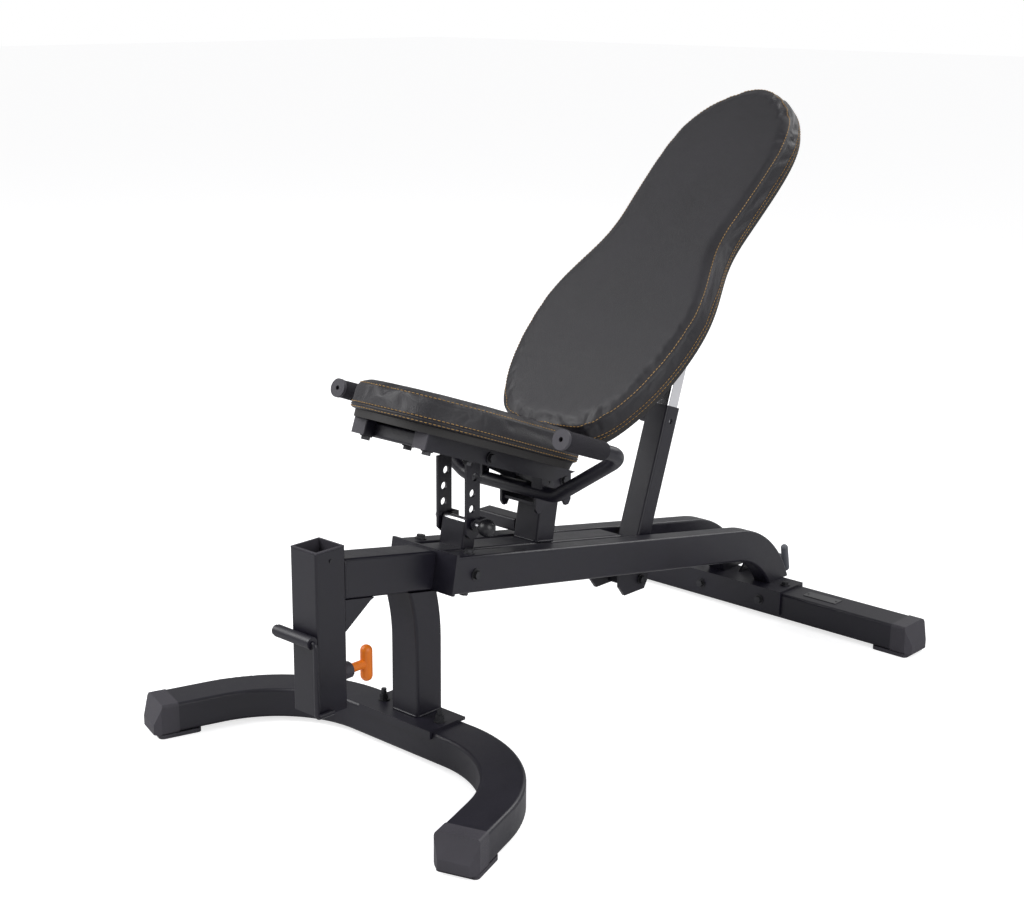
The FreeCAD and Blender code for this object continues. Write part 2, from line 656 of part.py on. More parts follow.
bail_sleeve = rod(V(-SLEEVE_LEFT, BAIL_Y, BAIL_Z), V(SLEEVE_RIGHT, BAIL_Y, BAIL_Z), SLEEVE_R)
bail_sleeve = bail_sleeve.cut(rod(V(-60, BAIL_Y, BAIL_Z), V(60, BAIL_Y, BAIL_Z), BAIL_R + SLACK))
export("bail_sleeve", bail_sleeve)
bail_points = [
    V(-SLEEVE_LEFT - 6, BAIL_Y, BAIL_Z), V(BAIL_X, BAIL_Y, BAIL_Z), V(BAIL_X, BAIL_Y, BAIL_Z - BAIL_DROP),
    V(BAIL_X, BAIL_Y + BAIL_FOOT, BAIL_Z - BAIL_DROP),
]
bail_path = path_through(bail_points, BAIL_BEND)
bail_ring = Part.Wire(Part.Circle(bail_points[0], V(1, 0, 0), BAIL_R).toShape())
bail = joined([swept(bail_path, bail_ring),
    rod(V(-SLEEVE_LEFT - 5, BAIL_Y, BAIL_Z), V(-SLEEVE_LEFT - 1, BAIL_Y, BAIL_Z), 8.5)])
export("bail", bail)

# ---------------------------------------------------------------- seat

rail_end = [(0, 0), (RAIL_LENGTH, 0), (RAIL_LENGTH + RAIL_TAIL, RAIL), (0, RAIL)]
rail_room = [
    (-1, WALL), (RAIL_LENGTH - 6, WALL), (RAIL_LENGTH + RAIL_TAIL - 16, RAIL - WALL), (-1, RAIL - WALL)
]
rail = tilted_plate(seat_at, rail_end, RAIL_X - 14, RAIL_X + 14)
rail = rail.cut(tilted_plate(seat_at, rail_room, RAIL_X - 14 + WALL, RAIL_X + 14 - WALL))
export("seat_rails", pair(rail))
plug = block(seat_at, RAIL_X - 14, RAIL_X + 14, -3, 0, 0, RAIL)
plug_room = WALL + SLACK
plug = plug.fuse(
    block(seat_at, RAIL_X - 14 + plug_room, RAIL_X + 14 - plug_room, -1, 9, plug_room, RAIL - plug_room)
)
export("rail_caps", pair(plug.removeSplitter()))

inner_face = RAIL_X - 14
front_cross = straight_tube(
    seat_at(-inner_face, 34, RAIL / 2), seat_at(inner_face, 34, RAIL / 2), SEAT_U, 30, RAIL - 2, WALL, 4
)
bars_s = (PIN_Y - SEAT_FRONT[0]) / math.cos(math.radians(SEAT_TILT)) + 34
mid_cross = straight_tube(
    seat_at(-inner_face, bars_s - 22, RAIL / 2),
    seat_at(inner_face, bars_s - 22, RAIL / 2), SEAT_U, 50, RAIL - 2, WALL, 4
)
rear_cross = straight_tube(
    seat_at(-inner_face, 300, RAIL / 2 + 1),
    seat_at(inner_face, 300, RAIL / 2 + 1), SEAT_U, 30, RAIL - 2, WALL, 4
)
export("seat_crossmembers", [front_cross, mid_cross, rear_cross])

lug_points = [
    (286, 2), (340, 2), (370, 4), (377, -6), (372, -15), (363, -18), (352, -15), (318, -8), (286, -4)
]
lug = tilted_plate(seat_at, lug_points, 30.5, 36.5)
lug = lug.cut(rod(V(-80, *SEAT_PIVOT), V(80, *SEAT_PIVOT), HINGE_R + SLACK))
handle_seat = box(RAIL_X - 12, RAIL_X + 12, HANDLE_Y - 9, HANDLE_Y + 9, HANDLE_Z + 4, 450)
handle_seat = handle_seat.cut(block(seat_at, 0, 200, -50, 500, 0, 80))
handle_seat = handle_seat.cut(rod(V(0, HANDLE_Y, HANDLE_Z), V(200, HANDLE_Y, HANDLE_Z), HANDLE_R))
export("seat_lugs", pair(lug) + pair(handle_seat))


def about_pivot(y, z, angle):
    """A point turned about the seat's hinge."""
    dy, dz = y - SEAT_PIVOT[0], z - SEAT_PIVOT[1]
    c, s = math.cos(angle), math.sin(angle)
    return SEAT_PIVOT[0] + dy * c - dz * s, SEAT_PIVOT[1] + dy * s + dz * c


arm = math.hypot(PIN_Y - SEAT_PIVOT[0], PIN_Z - SEAT_PIVOT[1])
detent = BAR_PITCH / arm
holes = [about_pivot(PIN_Y, PIN_Z, -detent * k) for k in range(BAR_HOLES)]
bar_top = seat_at(0, bars_s - 22, 1).z
bar = side_plate([
    (PIN_Y - BAR_W / 2, PIN_Z - BAR_END + 9), (PIN_Y - BAR_W / 2 + 9, PIN_Z - BAR_END),
    (PIN_Y + BAR_W / 2 - 9, PIN_Z - BAR_END), (PIN_Y + BAR_W / 2, PIN_Z - BAR_END + 9),
    (PIN_Y + BAR_W / 2, bar_top + 4), (PIN_Y - BAR_W / 2, bar_top + 4),
], BAR_X - BAR_T / 2, BAR_X + BAR_T / 2)
bar = bar.cut(block(seat_at, -80, 80, -50, 400, 1, 60))
for y, z in holes:
    bar = bar.cut(rod(V(-80, y, z), V(80, y, z), BAR_HOLE_R))
export("seat_bars", pair(bar))


def grip_point(side, y):
    return V(side * HANDLE_X, y, GRIP_Z - (y - GRIP_Y) * math.tan(math.radians(SEAT_TILT)))


handle_points = [
    grip_point(-1, GRIP_Y), grip_point(-1, 430), V(-104, HANDLE_Y, HANDLE_Z), V(104, HANDLE_Y, HANDLE_Z),
    grip_point(1, 430), grip_point(1, GRIP_Y),
]
handle_path = path_through(handle_points, 42.0)
handle = round_tube(handle_path, handle_points[0], SEAT_U, HANDLE_R, HANDLE_BORE)
export("seat_handle", handle)
grip = rod(grip_point(1, GRIP_Y), grip_point(1, GRIP_Y) + SEAT_U * GRIP_LENGTH, GRIP_R)
grip = grip.cut(
    rod(grip_point(1, GRIP_Y) - SEAT_U, grip_point(1, GRIP_Y) + SEAT_U * (GRIP_LENGTH + 1), HANDLE_R)
)
export("seat_grips", pair(grip))
cap_start = grip_point(1, GRIP_Y)
grip_cap = rod(cap_start, cap_start - SEAT_U * 6, GRIP_R + 1.0)
grip_cap = grip_cap.cut(rod(cap_start, cap_start - SEAT_U * 7, 4.0))
export("grip_caps", pair(grip_cap))


def pad_outline(place, n, grow=0.0):
    """The seat's outline: a broad rounded nose and a squarer rear edge."""
    w, a, b = SEAT_HALF + grow, SEAT_PAD_FRONT - grow, SEAT_PAD_REAR + grow
    r, q = SEAT_NOSE, SEAT_HEEL
    k = math.sqrt(0.5)
    spots = [
        (-w + r, a), (w - r, a), (w - r + r * k, a + r - r * k), (w, a + r), (w, b - q),
        (w - q + q * k, b - q + q * k), (w - q, b), (-w + q, b),
        (-w + q - q * k, b - q + q * k), (-w, b - q),
        (-w, a + r), (-w + r - r * k, a + r - r * k),
    ]
    p = [place(x, s, n) for x, s in spots]
    return Part.Wire([
        Part.LineSegment(p[0], p[1]).toShape(), Part.Arc(p[1], p[2], p[3]).toShape(),
        Part.LineSegment(p[3], p[4]).toShape(), Part.Arc(p[4], p[5], p[6]).toShape(),
        Part.LineSegment(p[6], p[7]).toShape(), Part.Arc(p[7], p[8], p[9]).toShape(),
        Part.LineSegment(p[9], p[10]).toShape(), Part.Arc(p[10], p[11], p[0]).toShape(),
    ])


seat_board = Part.Face(pad_outline(seat_at, RAIL, -8.0)).extrude(SEAT_N * SEAT_BOARD)
export("seat_board", seat_board)
seat_pad = Part.Face(pad_outline(seat_at, RAIL + SEAT_BOARD)).extrude(SEAT_N * SEAT_PAD)
export("seat_pad", seat_pad)
under_bolts = [bolt_head(seat_at(x, s, 0), SEAT_N * -1) for x in (-RAIL_X, RAIL_X) for s in (18, 118)]
export("seat_bolts", under_bolts + pair(bolt_head(seat_at(RAIL_X + 14, 152, RAIL / 2), V(1, 0, 0))))

# ---------------------------------------------------------------- seat lock pin

pin_tip = bar_out + PIN_OUT
seat_pin = rod(V(pin_tip, PIN_Y, PIN_Z), V(KNOB_X, PIN_Y, PIN_Z), PIN_R)
export("seat_pin", seat_pin)
knob = Part.makeSphere(KNOB_R, V(KNOB_X + 1, PIN_Y, PIN_Z))
knob = knob.cut(rod(V(0, PIN_Y, PIN_Z), V(KNOB_X, PIN_Y, PIN_Z), PIN_R))
export("seat_pin_knob", knob)

# ---------------------------------------------------------------- back

def back_outline(n, inset=0.0):
    """The back pad's hourglass outline as one closed curve."""
    right = [(max(w - inset, 6), s) for s, w in BACK_OUTLINE]
    right[0] = (right[0][0], right[0][1] + inset)
    right[-1] = (right[-1][0], right[-1][1] - inset)
    points = [back_at(w, s, n) for w, s in right] + [back_at(-w, s, n) for w, s in reversed(right)]
    curve = Part.BSplineCurve()
    curve.interpolate(points, PeriodicFlag=True)
    return Part.Wire(curve.toShape())


back_pad = Part.Face(back_outline(-BACK_PAD)).extrude(BACK_N * BACK_PAD)
export("back_pad", back_pad)
back_board = Part.Face(back_outline(-BACK_PAD - BACK_BOARD, 9.0)).extrude(BACK_N * BACK_BOARD)
export("back_board", back_board)

under = -BACK_PAD - BACK_BOARD
back_tube = straight_tube(
    back_at(0, 12, under - BACK_TUBE_H / 2), back_at(0, BACK_TUBE_END, under - BACK_TUBE_H / 2), V(1, 0, 0),
    BACK_TUBE_W, BACK_TUBE_H, WALL
)
export("back_tube", back_tube)
pivot_s = (BACK_PIVOT[0] - BACK_START[0]) * BACK_U.y + (BACK_PIVOT[1] - BACK_START[1]) * BACK_U.z
pivot_n = (BACK_PIVOT[0] - BACK_START[0]) * BACK_N.y + (BACK_PIVOT[1] - BACK_START[1]) * BACK_N.z
back_lug = tilted_plate(back_at, [
    (pivot_s - 12, pivot_n + 5), (pivot_s - 12, pivot_n - 5),
    (pivot_s - 5, pivot_n - 12), (pivot_s + 12, pivot_n - 12),
    (110, under - BACK_TUBE_H + 4), (110, under - 4), (20, under - 4), (pivot_s + 14, pivot_n + 16),
    (pivot_s - 5, pivot_n + 12),
], BACK_TUBE_W / 2, BACK_TUBE_W / 2 + 5)
back_lug = back_lug.cut(rod(V(-80, *BACK_PIVOT), V(80, *BACK_PIVOT), HINGE_R + SLACK))
export("back_hinge_lugs", pair(back_lug))
strut_top = strut_at(0, STRUT_REACH, 0)
top_rel = strut_top - back_at(0, 0, 0)
top_s, top_n = top_rel.dot(BACK_U), top_rel.dot(BACK_N)
hanger = tilted_plate(back_at, [
    (top_s - 40, under - 6), (top_s + 40, under - 6), (top_s + 12, top_n - 12), (top_s - 12, top_n - 12),
], BACK_TUBE_W / 2, BACK_TUBE_W / 2 + 5)
pad_lugs = [block(back_at, BACK_TUBE_W / 2, 105, s, s + 36, under - 5, under) for s in (210, 530)]
brackets = pair(hanger)
for lug in pad_lugs:
    brackets += pair(lug)
export("back_brackets", brackets)
back_bolts = pair(bolt_head(V(BACK_TUBE_W / 2 + 5, strut_top.y, strut_top.z), V(1, 0, 0)))
for s in (210, 530):
    back_bolts += pair(bolt_head(back_at(84, s + 18, under - 5), BACK_N * -1))
export("back_bolts", back_bolts)

# ---------------------------------------------------------------- strut

outer = straight_tube(
    strut_at(0, -STRUT_FOOT, 0), strut_at(0, STRUT_LENGTH, 0), V(1, 0, 0), STRUT_W, STRUT_D, WALL, 4.5
)
lock = strut_at(0, STRUT_LOCK, 0)
outer = outer.cut(rod(V(-80, *STRUT_PIVOT), V(80, *STRUT_PIVOT), HINGE_R + SLACK))
outer = outer.cut(rod(V(-80, lock.y, lock.z), V(80, lock.y, lock.z), STRUT_PIN_R + SLACK))
export("strut_outer", outer)
side_x = -STRUT_W / 2
strut_barrel = rod(V(side_x, lock.y, lock.z), V(side_x - STRUT_BARREL, lock.y, lock.z), 10.0)
strut_barrel = strut_barrel.cut(rod(V(0, lock.y, lock.z), V(-90, lock.y, lock.z), STRUT_PIN_R + SLACK))
export("strut_pin_barrel", strut_barrel)
inner = straight_tube(
    strut_at(0, INNER_START, 0), strut_at(0, STRUT_REACH - 26, 0), V(1, 0, 0), INNER_W, INNER_D, 2.0, 4.0
)
for k in range(-1, 7):
    spot = strut_at(0, STRUT_LOCK + STRUT_PITCH * k, 0)
    inner = inner.cut(rod(V(-80, spot.y, spot.z), V(-INNER_W / 2 + 5, spot.y, spot.z), STRUT_HOLE_R))
eye = tilted_plate(strut_at, [
    (STRUT_REACH - 60, -15), (STRUT_REACH + 2, -15), (STRUT_REACH + 12, -6), (STRUT_REACH + 12, 6),
    (STRUT_REACH + 2, 15), (STRUT_REACH - 60, 15),
], -8, 8)
export("strut_inner", joined([inner, eye]))
shut_x = -INNER_W / 2 - 0.4
knob_x = side_x - STRUT_BARREL - STRUT_PIN_TRAVEL - 2
strut_pin = rod(V(shut_x, lock.y, lock.z), V(knob_x, lock.y, lock.z), STRUT_PIN_R)
export("strut_pin", strut_pin)
strut_knob = rod(V(knob_x, lock.y, lock.z), V(knob_x - STRUT_KNOB, lock.y, lock.z), 12.0)
export("strut_pin_knob", strut_knob)
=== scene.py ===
import json
import math

import bmesh
import bpy
from bpy.props import FloatProperty, FloatVectorProperty, PointerProperty
from mathutils import Matrix, Vector
from mathutils.bvhtree import BVHTree


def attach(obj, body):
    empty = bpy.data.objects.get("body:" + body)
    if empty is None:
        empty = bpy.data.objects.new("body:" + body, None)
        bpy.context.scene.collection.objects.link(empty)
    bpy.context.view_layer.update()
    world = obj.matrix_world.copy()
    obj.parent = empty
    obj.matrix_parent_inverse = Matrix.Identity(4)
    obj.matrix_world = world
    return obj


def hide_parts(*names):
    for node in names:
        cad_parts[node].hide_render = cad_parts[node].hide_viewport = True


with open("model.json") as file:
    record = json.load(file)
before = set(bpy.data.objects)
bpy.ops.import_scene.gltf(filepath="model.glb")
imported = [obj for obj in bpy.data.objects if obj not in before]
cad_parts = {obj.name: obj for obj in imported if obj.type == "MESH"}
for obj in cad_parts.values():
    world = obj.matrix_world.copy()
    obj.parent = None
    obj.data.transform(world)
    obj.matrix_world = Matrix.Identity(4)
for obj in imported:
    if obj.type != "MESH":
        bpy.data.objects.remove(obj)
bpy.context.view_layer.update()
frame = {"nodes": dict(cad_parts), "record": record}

bl_info = {
    "name": "Weight Bench Looks",
    "version": (1, 0, 0),
    "blender": (4, 5, 0),
    "location": "3D View > Sidebar > Bench",
    "description": "Pads, grips, finishes and studio for an adjustable weight bench",
    "category": "Object",
}

SEAT_TILT = -20.5
BACK_TILT = 41.0
FRAME_SLOPE = 10.0
OUTLINE_STEP = 0.004
BOARD_BAND = 0.006
GRIP_EDGE = 0.003
GRIP_SWELL = 0.0004
GRIP_SIDES = 48
WELD_RADIUS = 0.0024
WELD_RIPPLE = 0.0042
WELD_STEP = 0.0014
WELD_LIFT = 0.0012
WELD_CORNER = 0.006
FLOOR_REACH = 30.0
CAMERA_PLACE = (1.9047, -2.2340, 1.2285)
CAMERA_TURN, CAMERA_TIP, CAMERA_ROLL = 42.2, 75.0, 0.435
CAMERA_LENS = 60.47


# ---------------------------------------------------------------- what a user may change

def colour(name, description, value):
    return FloatVectorProperty(
        name=name, description=description, default=value, subtype="COLOR", min=0, max=1
    )


def power(name, description, value):
    return FloatProperty(name=name, description=description, default=value, min=0, unit="POWER")


def length(name, description, value, top=0.1):
    return FloatProperty(
        name=name, description=description, default=value, min=0.0, max=top, unit="LENGTH", precision=4
    )


class BenchColours(bpy.types.PropertyGroup):
    frame: colour("Frame", "Powder coat on the tubes and plates", (0.0050, 0.0044, 0.0090))
    vinyl: colour("Vinyl", "Cover of the seat and the back", (0.0078, 0.0070, 0.0098))
    thread: colour("Thread", "Stitching round the pads", (0.33, 0.19, 0.055))
    moulded: colour("Moulded plastic", "End caps and liner", (0.026, 0.024, 0.031))
    foam: colour("Foam", "Hand grips", (0.015, 0.014, 0.018))
    pull: colour("Pull handle", "Handle of the receiver pin", (0.72, 0.17, 0.008))
    rear_pull: colour("Rear handle", "Handle at the rear foot", (0.085, 0.090, 0.105))


class BenchSizes(bpy.types.PropertyGroup):
    voxel: length("Cover cell", "Cell size of the cover before it is inflated", 0.004)
    crown: length("Crown", "Furthest that the foam pushes the cover out", 0.006)
    tuck: length("Tuck", "How far inside the pad's outline the cover starts", 0.0015)
    edge: length("Edge radius", "Rounding of the face's edge", 0.006)
    groove: length("Groove", "Depth of a sewn seam", 0.0018)
    groove_width: length("Groove width", "Half width of a sewn seam", 0.0022)
    piping: length("Piping", "Radius of the welt", 0.0022)
    stitch: length("Stitch", "Length of one stitch", 0.0052)
    stitch_gap: length("Stitch gap", "Space between two stitches", 0.0020)
    thread: length("Thread radius", "Radius of the thread", 0.00055)


class BenchStudio(bpy.types.PropertyGroup):
    floor: colour("Floor", "Floor and backdrop", (0.60, 0.60, 0.61))
    surround: FloatProperty(name="Surround", description="Light from all round", default=0.40, min=0, max=1)
    glow: FloatProperty(
        name="Floor glow", description="Brightness the camera adds to the floor", default=0.72, min=0
    )
    key: power("Key light", "Power of the large light", 150.0)
    fill: power("Fill light", "Power of the side light", 60.0)
    rim: power("Rim light", "Power of the light behind", 70.0)


# ---------------------------------------------------------------- shader groups

def new_group(name, numbers, outputs):
    """An empty shader group with named float inputs and outputs."""
    tree = bpy.data.node_groups.new(name, "ShaderNodeTree")
    for label, value in numbers:
        socket = tree.interface.new_socket(label, in_out="INPUT", socket_type="NodeSocketFloat")
        socket.default_value = value
    for label in outputs:
        tree.interface.new_socket(label, in_out="OUTPUT", socket_type="NodeSocketFloat")
    entry = tree.nodes.new("NodeGroupInput")
    leave = tree.nodes.new("NodeGroupOutput")
    return tree, entry, leave


def math_node(tree, operation, first, second):
    node = tree.nodes.new("ShaderNodeMath")
    node.operation = operation
    for socket, value in zip(node.inputs, (first, second)):
        if isinstance(value, bpy.types.NodeSocket):
            tree.links.new(value, socket)
        else:
            socket.default_value = value
    return node.outputs[0]


def noise(tree, vector, scale, detail=2.0, roughness=0.5):
    node = tree.nodes.new("ShaderNodeTexNoise")
    node.inputs["Detail"].default_value = detail
    node.inputs["Roughness"].default_value = roughness
    tree.links.new(vector, node.inputs["Vector"])
    if isinstance(scale, bpy.types.NodeSocket):
        tree.links.new(scale, node.inputs["Scale"])
    else:
        node.inputs["Scale"].default_value = scale
    return node.outputs["Fac"]


def leather_grain():
    """Pebbles between fine creases, with a slow change over the hide."""
    tree, entry, leave = new_group("Leather Grain", [("Scale", 420.0)], ["Height", "Mottle"])
    place = tree.nodes.new("ShaderNodeTexCoord").outputs["Object"]
    cells = tree.nodes.new("ShaderNodeTexVoronoi")
    cells.feature = "DISTANCE_TO_EDGE"
    tree.links.new(place, cells.inputs["Vector"])
    tree.links.new(entry.outputs["Scale"], cells.inputs["Scale"])
    pebble = math_node(tree, "MINIMUM", math_node(tree, "MULTIPLY", cells.outputs["Distance"], 3.0), 1.0)
    fine = noise(tree, place, 1400.0, 3.0)
    broad = math_node(tree, "MULTIPLY", pebble, 0.75)
    height = math_node(tree, "ADD", broad, math_node(tree, "MULTIPLY", fine, 0.25))
    tree.links.new(height, leave.inputs["Height"])
    tree.links.new(noise(tree, place, 9.0, 4.0, 0.6), leave.inputs["Mottle"])
    return tree


def coat_grain():
    """Fine orange peel, with faint rubbed patches."""
    tree, entry, leave = new_group("Coat Grain", [("Scale", 700.0), ("Patches", 14.0)], ["Height", "Mottle"])
    place = tree.nodes.new("ShaderNodeTexCoord").outputs["Object"]
    tree.links.new(noise(tree, place, entry.outputs["Scale"], 2.0), leave.inputs["Height"])
    broad = noise(tree, place, entry.outputs["Patches"], 5.0, 0.65)
    streak = noise(tree, place, 160.0, 3.0, 0.7)
    slow = math_node(tree, "MULTIPLY", broad, 0.7)
    mixed = math_node(tree, "ADD", slow, math_node(tree, "MULTIPLY", streak, 0.3))
    tree.links.new(mixed, leave.inputs["Mottle"])
    return tree


def graded(tree, mask, low, high, width=0.16):
    """The mask, spread from one value to another."""
    node = tree.nodes.new("ShaderNodeMapRange")
    node.inputs["From Min"].default_value = 0.5 - width
    node.inputs["From Max"].default_value = 0.5 + width
    node.inputs["To Min"].default_value = low
    node.inputs["To Max"].default_value = high
    tree.links.new(mask, node.inputs["Value"])
    return node.outputs["Result"]


FINISHES = {}


def finish(name, base, rough, group, scale, bump, metallic=0.0, lift=1.5, specular=0.5):
    """A material whose colour, gloss and relief all come from one grain group."""
    material = bpy.data.materials.new(name)
    material.use_nodes = True
    tree = material.node_tree
    shader = tree.nodes["Principled BSDF"]
    shader.inputs["Metallic"].default_value = metallic
    shader.inputs["Specular IOR Level"].default_value = specular
    grain = tree.nodes.new("ShaderNodeGroup")
    grain.node_tree = bpy.data.node_groups[group]
    grain.inputs["Scale"].default_value = scale
    ramp = tree.nodes.new("ShaderNodeMix")
    ramp.data_type = "RGBA"
    ramp.inputs["A"].default_value = (*base, 1)
    ramp.inputs["B"].default_value = (*[min(1.0, part * lift) for part in base], 1)
    tree.links.new(graded(tree, grain.outputs["Mottle"], 0.0, 1.0), ramp.inputs["Factor"])
    tree.links.new(ramp.outputs["Result"], shader.inputs["Base Color"])
    tree.links.new(graded(tree, grain.outputs["Mottle"], rough[0], rough[1]), shader.inputs["Roughness"])
    relief = tree.nodes.new("ShaderNodeBump")
    relief.inputs["Strength"].default_value = bump[0]
    relief.inputs["Distance"].default_value = bump[1]
    tree.links.new(grain.outputs["Height"], relief.inputs["Height"])
    tree.links.new(relief.outputs["Normal"], shader.inputs["Normal"])
    FINISHES[name] = material
    return material


# ---------------------------------------------------------------- pad geometry

class PadFrame:
    """A pad laid flat: X across, Y along it, Z out of its face."""

    def __init__(self, node, tilt):
        turn = math.radians(tilt)
        self.along = Vector((0, math.cos(turn), math.sin(turn)))
        self.out = Vector((0, -math.sin(turn), math.cos(turn)))
        corners = [v.co for v in frame["nodes"][node].data.vertices]
        flat = [Vector((p.x, p.dot(self.along), p.dot(self.out))) for p in corners]
        self.low = min(p.z for p in flat)
        self.high = max(p.z for p in flat)
        rim = {(round(p.x, 5), round(p.y, 5)) for p in flat if p.z > self.high - 1e-4}
        middle = (min(y for _, y in rim) + max(y for _, y in rim)) / 2
        rim = sorted(rim, key=lambda p: math.atan2(p[1] - middle, p[0]))
        self.outline = evenly([Vector((x, y, 0)) for x, y in rim], OUTLINE_STEP)

    def matrix(self):
        return Matrix((
            (1, 0, 0, 0),
            (0, self.along.y, self.out.y, 0),
            (0, self.along.z, self.out.z, 0),
            (0, 0, 0, 1),
        ))


def evenly(points, step):
    """A closed line through the points, cut into equal steps."""
    loop = points + points[:1]
    spans = [(b - a).length for a, b in zip(loop, loop[1:])]
    total = sum(spans)
    count = max(8, round(total / step))
    result, index, passed = [], 0, 0.0
    for number in range(count):
        target = total * number / count
        while passed + spans[index] < target:
            passed += spans[index]
            index += 1
        share = (target - passed) / max(spans[index], 1e-12)
        result.append(loop[index].lerp(loop[index + 1], share))
    return result


def inward(outline, index):
    """The direction into the pad at one point of its outline, taken anticlockwise."""
    ahead = outline[(index + 2) % len(outline)]
    tangent = (ahead - outline[index - 2]).normalized()
    return Vector((-tangent.y, tangent.x, 0))


def mesh_object(name, verts, faces, smooth=True):
    mesh = bpy.data.meshes.new(name)
    mesh.from_pydata([tuple(v) for v in verts], [], faces)
    mesh.validate()
    for polygon in mesh.polygons:
        polygon.use_smooth = smooth
    piece = bpy.data.objects.new(name, mesh)
    bpy.context.scene.collection.objects.link(piece)
    return piece


def pad_blank(name, pad, sizes):
    """The pad before it is inflated: a flat back, upright sides and a rounded face edge."""
    rise = pad.high - pad.low
    profile = [(sizes.tuck + 0.004, 0.0), (sizes.tuck, 0.004)]
    for share in (0.3, 0.6):
        profile.append((sizes.tuck, rise * share))
    for step in range(7):
        turn = math.radians(15 * step)
        inset = sizes.tuck + sizes.edge * (1 - math.cos(turn))
        profile.append((inset, rise - sizes.tuck - sizes.edge * (1 - math.sin(turn))))
    count = len(pad.outline)
    ways = [inward(pad.outline, i) for i in range(count)]
    verts = []
    for inset, height in profile:
        for point, way in zip(pad.outline, ways):
            verts.append(point + way * inset + Vector((0, 0, pad.low + height)))
    faces = []
    for ring in range(len(profile) - 1):
        here, above = ring * count, (ring + 1) * count
        for i in range(count):
            j = (i + 1) % count
            faces.append((here + i, here + j, above + j, above + i))
    faces.append(tuple(reversed(range(count))))
    faces.append(tuple(range((len(profile) - 1) * count, len(profile) * count)))
    return mesh_object(name, verts, faces)


def baked(piece):
    """The piece's mesh with its modifiers applied."""
    graph = bpy.context.evaluated_depsgraph_get()
    mesh = bpy.data.meshes.new_from_object(piece.evaluated_get(graph))
    piece.modifiers.clear()
    piece.data = mesh
    return mesh


def inflate(piece, pad, sizes):
    """Foam pressure under the cover, held where the pad lies on its board."""
    remesh = piece.modifiers.new("Cells", "REMESH")
    remesh.mode = "VOXEL"
    remesh.voxel_size = sizes.voxel
    baked(piece)
    rest = [v.co.copy() for v in piece.data.vertices]
    held = piece.vertex_groups.new(name="held")
    held.add([i for i, p in enumerate(rest) if p.z < pad.low + BOARD_BAND], 1.0, "REPLACE")
    cloth = piece.modifiers.new("Cover", "CLOTH")
    cloth.settings.quality = 5
    cloth.settings.use_pressure = True
    cloth.settings.uniform_pressure_force = 4.0
    cloth.settings.tension_stiffness = 40
    cloth.settings.compression_stiffness = 40
    cloth.settings.effector_weights.gravity = 0.0
    cloth.settings.vertex_group_mass = "held"
    for number in range(1, 21):
        bpy.context.scene.frame_set(number)
    baked(piece)
    bpy.context.scene.frame_set(1)
    for vertex, before in zip(piece.data.vertices, rest):
        move = vertex.co - before
        if move.length > sizes.crown:
            vertex.co = before + move * (sizes.crown / move.length)
    piece.vertex_groups.clear()
    soften = piece.modifiers.new("Soften", "SMOOTH")
    soften.iterations = 3
    soften.factor = 0.4
    finer = piece.modifiers.new("Finer", "SUBSURF")
    finer.levels = 1
    finer.render_levels = 1
    baked(piece)


def sew_grooves(piece, pad, sizes, heights):
    """Seams pulled into the sides at the given shares of the pad's thickness."""
    rise = pad.high - pad.low
    piece.data.update()
    outward = [Vector((normal.vector.x, normal.vector.y, 0)) for normal in piece.data.vertex_normals]
    for vertex, out in zip(piece.data.vertices, outward):
        if out.length < 0.5:
            continue
        above = vertex.co.z - pad.low
        pull = sum(math.exp(-((above - rise * share) / sizes.groove_width) ** 2) for share in heights)
        vertex.co -= out * (sizes.groove * min(pull, 1.0))
    for polygon in piece.data.polygons:
        polygon.use_smooth = True


def surface_of(piece):
    """A search tree of the piece's faces."""
    mesh = bmesh.new()
    mesh.from_mesh(piece.data)
    tree = BVHTree.FromBMesh(mesh)
    mesh.free()
    return tree


def line_on_side(tree, pad, share):
    """Points and directions where a level line meets the pad's side."""
    height = pad.low + (pad.high - pad.low) * share
    found = []
    for i, point in enumerate(pad.outline):
        way = inward(pad.outline, i)
        start = Vector((point.x, point.y, height)) - way * 0.03
        hit, normal, _, _ = tree.ray_cast(start, way, 0.08)
        if hit is not None:
            found.append((hit, normal))
    return found


def add_tube(verts, faces, path, radii, sides, closed):
    """A round tube along a path, each station with its own radius."""
    first, count = len(verts), len(path)
    for i, (spot, normal) in enumerate(path):
        before = path[i - 1][0] if closed or i else spot
        after = path[(i + 1) % count][0] if closed or i < count - 1 else spot
        tangent = (after - before).normalized()
        across = tangent.cross(normal).normalized()
        up = across.cross(tangent).normalized()
        for side in range(sides):
            turn = 2 * math.pi * side / sides
            verts.append(spot + across * (radii[i] * math.cos(turn)) + up * (radii[i] * math.sin(turn)))
    for ring in range(count if closed else count - 1):
        low, high = first + ring * sides, first + ((ring + 1) % count) * sides
        for side in range(sides):
            after = (side + 1) % sides
            faces.append((low + side, low + after, high + after, high + side))
    if not closed:
        faces.append(tuple(first + side for side in reversed(range(sides))))
        faces.append(tuple(first + (count - 1) * sides + side for side in range(sides)))


